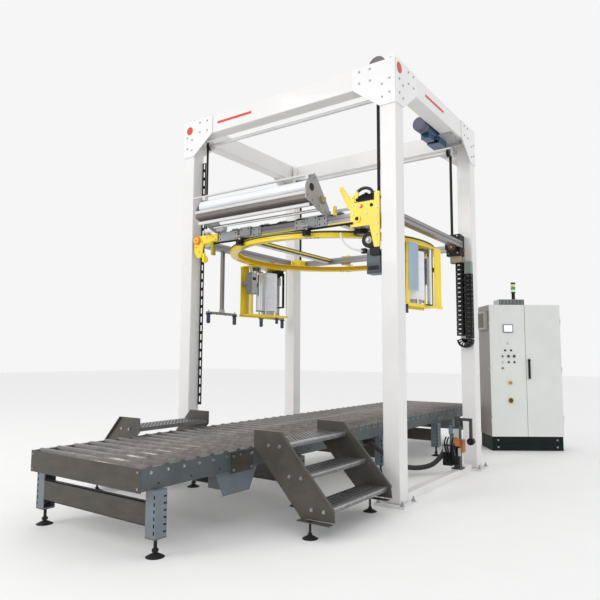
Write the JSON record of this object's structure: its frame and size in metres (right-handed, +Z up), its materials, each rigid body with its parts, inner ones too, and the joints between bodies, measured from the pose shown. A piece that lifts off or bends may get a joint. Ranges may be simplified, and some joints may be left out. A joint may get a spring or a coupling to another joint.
{
  "type": "rotary ring pallet wrapper",
  "caption": "Four-post portal with a lifting ring that carries film units around a pallet load on a roller conveyor, with top sheet unit, steps and control cabinet.",
  "frame": {"origin": "on the floor, on the ring's axis, at the middle of the portal", "axes": "+X to the right across the conveyor, +Y along the conveyor from infeed to outfeed, +Z up"},
  "size_m": [3.4993, 6.9244, 4.365],
  "materials": {
    "painted_white": "gloss enamel",
    "plate_white": "gloss enamel",
    "bolt_steel": "zinc plated",
    "ladder_grey": "blackened",
    "motor_blue": "satin",
    "reel_grey": "satin",
    "belt_black": "matt",
    "chain_black": "matt",
    "rail_grey": "satin",
    "support_grey": "satin",
    "foot_black": "matt",
    "cover_grey": "satin",
    "drive_dark": "satin",
    "roller_steel": "ground",
    "stringer_grey": "satin",
    "tread_steel": "perforated, galvanised",
    "clamp_grey": "satin",
    "hose_black": "corrugated",
    "cabinet_grey": "fine texture",
    "plinth_dark": "satin",
    "beacon_black": "gloss",
    "unit_beige": "matt",
    "shaft_steel": "turned",
    "panel_blue": "matt",
    "handle_black": "matt",
    "switch_yellow": "gloss",
    "estop_red": "gloss",
    "button_green": "gloss",
    "button_red": "gloss",
    "profile_alu": "anodised",
    "bracket_yellow": "gloss enamel",
    "wheel_orange": "matt",
    "gripper_green": "satin",
    "sheet_alu": "mill finish",
    "film_white": "stretch film",
    "ring_yellow": "gloss enamel",
    "drive_teal": "satin",
    "mast_grey": "satin",
    "cover_blue": "satin",
    "roller_chrome": "polished",
    "dancer_black": "satin"
  },
  "bodies": {
    "root": {"portal_posts": "painted_white", "top_beams": "painted_white", "corner_plates": "plate_white", "frame_bolts": "bolt_steel", "floor_frame": "painted_white", "safety_ladder": "ladder_grey", "lift_gearmotor": "motor_blue", "top_reel": "reel_grey", "lift_belts": "belt_black", "energy_chain": "chain_black", "conveyor_rails": "rail_grey", "conveyor_supports": "support_grey", "levelling_feet": "foot_black", "end_covers": "cover_grey", "conveyor_drives": "drive_dark", "conveyor_rollers": "roller_steel", "step_stringers": "stringer_grey", "step_treads": "tread_steel", "clamp_column": "clamp_grey", "hose_loom": "hose_black", "cabinet_shell": "cabinet_grey", "cabinet_plinth": "plinth_dark", "beacon_tower": "beacon_black", "cabinet_units": "unit_beige"},
    "front_shaft": {"front_lift_shaft": "shaft_steel"},
    "rear_shaft": {"rear_lift_shaft": "shaft_steel"},
    "infeed_drive": {"infeed_roller": "roller_steel"},
    "main_drive": {"main_roller": "roller_steel"},
    "clamp": {"clamp_arm": "clamp_grey"},
    "left_door": {"door_left": "cabinet_grey", "control_panel": "panel_blue"},
    "right_door": {"door_right": "cabinet_grey"},
    "handle": {"door_handle": "handle_black"},
    "switch": {"main_switch": "switch_yellow"},
    "estop": {"estop_button": "estop_red"},
    "start": {"start_button": "button_green"},
    "stop": {"stop_button": "button_red"},
    "lift": {"lift_beams": "profile_alu", "lift_brackets": "bracket_yellow", "sheet_rails": "bracket_yellow", "sheet_unit_frame": "sheet_alu", "ring_drive_unit": "drive_teal", "sensor_masts": "mast_grey", "lift_hoses": "hose_black"},
    "left_wheel": {"guide_wheel_left": "wheel_orange"},
    "right_wheel": {"guide_wheel_right": "wheel_orange"},
    "gripper": {"sheet_gripper": "gripper_green"},
    "top_roll": {"sheet_roll": "film_white"},
    "drive_wheel": {"ring_drive_wheel": "belt_black"},
    "support_left": {"ring_roller_left": "roller_chrome"},
    "support_right": {"ring_roller_right": "roller_chrome"},
    "ring": {"ring": "ring_yellow", "film_unit_frames": "bracket_yellow", "film_unit_covers": "cover_blue"},
    "roll_a": {"film_roll_a": "film_white"},
    "roll_b": {"film_roll_b": "film_white"},
    "stretch_a": {"stretch_roller_a": "roller_chrome"},
    "stretch_b": {"stretch_roller_b": "roller_chrome"},
    "dancer_a": {"dancer_arm_a": "dancer_black"},
    "dancer_b": {"dancer_arm_b": "dancer_black"}
  },
  "joints": [
    {"name": "lift_slide", "type": "slide", "parent": "root", "child": "lift", "axis": [0, 0, 1], "range_m": [-1.1, 0.65], "deforming": ["lift_belts", "energy_chain"]},
    {"name": "front_shaft_spin", "type": "hinge", "parent": "root", "child": "front_shaft", "pos_m": [0, -0.946, 3.92], "axis": [1, 0, 0], "range_deg": [-1266, 750]},
    {"name": "rear_shaft_spin", "type": "hinge", "parent": "root", "child": "rear_shaft", "pos_m": [0, 0.946, 3.92], "axis": [1, 0, 0], "range_deg": [-750, 1266]},
    {"name": "infeed_roller_spin", "type": "hinge", "parent": "root", "child": "infeed_drive", "pos_m": [0, -3.025, 0.5555], "axis": [1, 0, 0], "continuous": true},
    {"name": "main_roller_spin", "type": "hinge", "parent": "root", "child": "main_drive", "pos_m": [0, -0.025, 0.5555], "axis": [1, 0, 0], "continuous": true},
    {"name": "clamp_swing", "type": "hinge", "parent": "root", "child": "clamp", "pos_m": [1.345, 0.56, 0.6], "axis": [0, 0, 1], "range_deg": [0, 150]},
    {"name": "left_door_hinge", "type": "hinge", "parent": "root", "child": "left_door", "pos_m": [1.15262, 2.50198, 1.2], "axis": [0, 0, -1], "range_deg": [0, 110]},
    {"name": "right_door_hinge", "type": "hinge", "parent": "root", "child": "right_door", "pos_m": [1.99635, 3.09276, 1.2], "axis": [0, 0, 1], "range_deg": [0, 110]},
    {"name": "handle_turn", "type": "hinge", "parent": "right_door", "child": "handle", "pos_m": [1.61098, 2.81499, 1.29], "axis": [0.5736, -0.8192, 0], "range_deg": [0, 90]},
    {"name": "main_switch_turn", "type": "hinge", "parent": "left_door", "child": "switch", "pos_m": [1.39181, 2.64505, 0.715], "axis": [0.5736, -0.8192, 0], "range_deg": [0, 90]},
    {"name": "estop_press", "type": "slide", "parent": "left_door", "child": "estop", "axis": [-0.5736, 0.8192, 0], "range_m": [0, 0.006], "stiffness_N_per_m": 2000},
    {"name": "start_press", "type": "slide", "parent": "left_door", "child": "start", "axis": [-0.5736, 0.8192, 0], "range_m": [0, 0.004], "stiffness_N_per_m": 1000},
    {"name": "stop_press", "type": "slide", "parent": "left_door", "child": "stop", "axis": [-0.5736, 0.8192, 0], "range_m": [0, 0.004], "stiffness_N_per_m": 1000},
    {"name": "left_wheel_spin", "type": "hinge", "parent": "lift", "child": "left_wheel", "pos_m": [-1.212, -1.085, 2.602], "axis": [0, 1, 0], "range_deg": [-1332, 790]},
    {"name": "right_wheel_spin", "type": "hinge", "parent": "lift", "child": "right_wheel", "pos_m": [1.212, -1.085, 2.602], "axis": [0, 1, 0], "range_deg": [-790, 1332]},
    {"name": "gripper_travel", "type": "slide", "parent": "lift", "child": "gripper", "axis": [0, 1, 0], "range_m": [0, 1.85]},
    {"name": "sheet_roll_spin", "type": "hinge", "parent": "lift", "child": "top_roll", "pos_m": [-0.105, -1.4, 2.986], "axis": [1, 0, 0], "continuous": true},
    {"name": "ring_spin", "type": "hinge", "parent": "lift", "child": "ring", "pos_m": [0, 0, 2.55], "axis": [0, 0, 1], "continuous": true},
    {"name": "drive_wheel_spin", "type": "hinge", "parent": "lift", "child": "drive_wheel", "pos_m": [0.93586, -0.93586, 2.582], "axis": [0, 0, 1], "continuous": true},
    {"name": "support_left_spin", "type": "hinge", "parent": "lift", "child": "support_left", "pos_m": [-0.45, -1.20523, 2.582], "axis": [0, 0, 1], "continuous": true},
    {"name": "support_right_spin", "type": "hinge", "parent": "lift", "child": "support_right", "pos_m": [0.45, -1.20523, 2.582], "axis": [0, 0, 1], "continuous": true},
    {"name": "film_roll_a_spin", "type": "hinge", "parent": "ring", "child": "roll_a", "pos_m": [-1.17007, 0.22503, 1.936], "axis": [0, 0, 1], "continuous": true},
    {"name": "film_roll_b_spin", "type": "hinge", "parent": "ring", "child": "roll_b", "pos_m": [1.17007, -0.22503, 1.936], "axis": [0, 0, 1], "continuous": true},
    {"name": "stretch_a_spin", "type": "hinge", "parent": "ring", "child": "stretch_a", "pos_m": [-1.16255, 0.02706, 1.936], "axis": [0, 0, 1], "continuous": true},
    {"name": "stretch_b_spin", "type": "hinge", "parent": "ring", "child": "stretch_b", "pos_m": [1.16255, -0.02706, 1.936], "axis": [0, 0, 1], "continuous": true},
    {"name": "dancer_a_swing", "type": "hinge", "parent": "ring", "child": "dancer_a", "pos_m": [-1.13233, 0.42169, 1.996], "axis": [0, 0, 1], "range_deg": [-25, 20], "stiffness_Nm_per_rad": 4},
    {"name": "dancer_b_swing", "type": "hinge", "parent": "ring", "child": "dancer_b", "pos_m": [1.13233, -0.42169, 1.996], "axis": [0, 0, 1], "range_deg": [-25, 20], "stiffness_Nm_per_rad": 4}
  ],
  "couplings": [
    {"joint": "front_shaft_spin", "follows": "lift_slide", "rad_per_m": 20},
    {"joint": "rear_shaft_spin", "follows": "lift_slide", "rad_per_m": -20},
    {"joint": "left_wheel_spin", "follows": "lift_slide", "rad_per_m": 21.053},
    {"joint": "right_wheel_spin", "follows": "lift_slide", "rad_per_m": -21.053},
    {"joint": "drive_wheel_spin", "follows": "ring_spin", "ratio": -16.64},
    {"joint": "support_left_spin", "follows": "ring_spin", "ratio": -32.842},
    {"joint": "support_right_spin", "follows": "ring_spin", "ratio": -32.842}
  ]
}
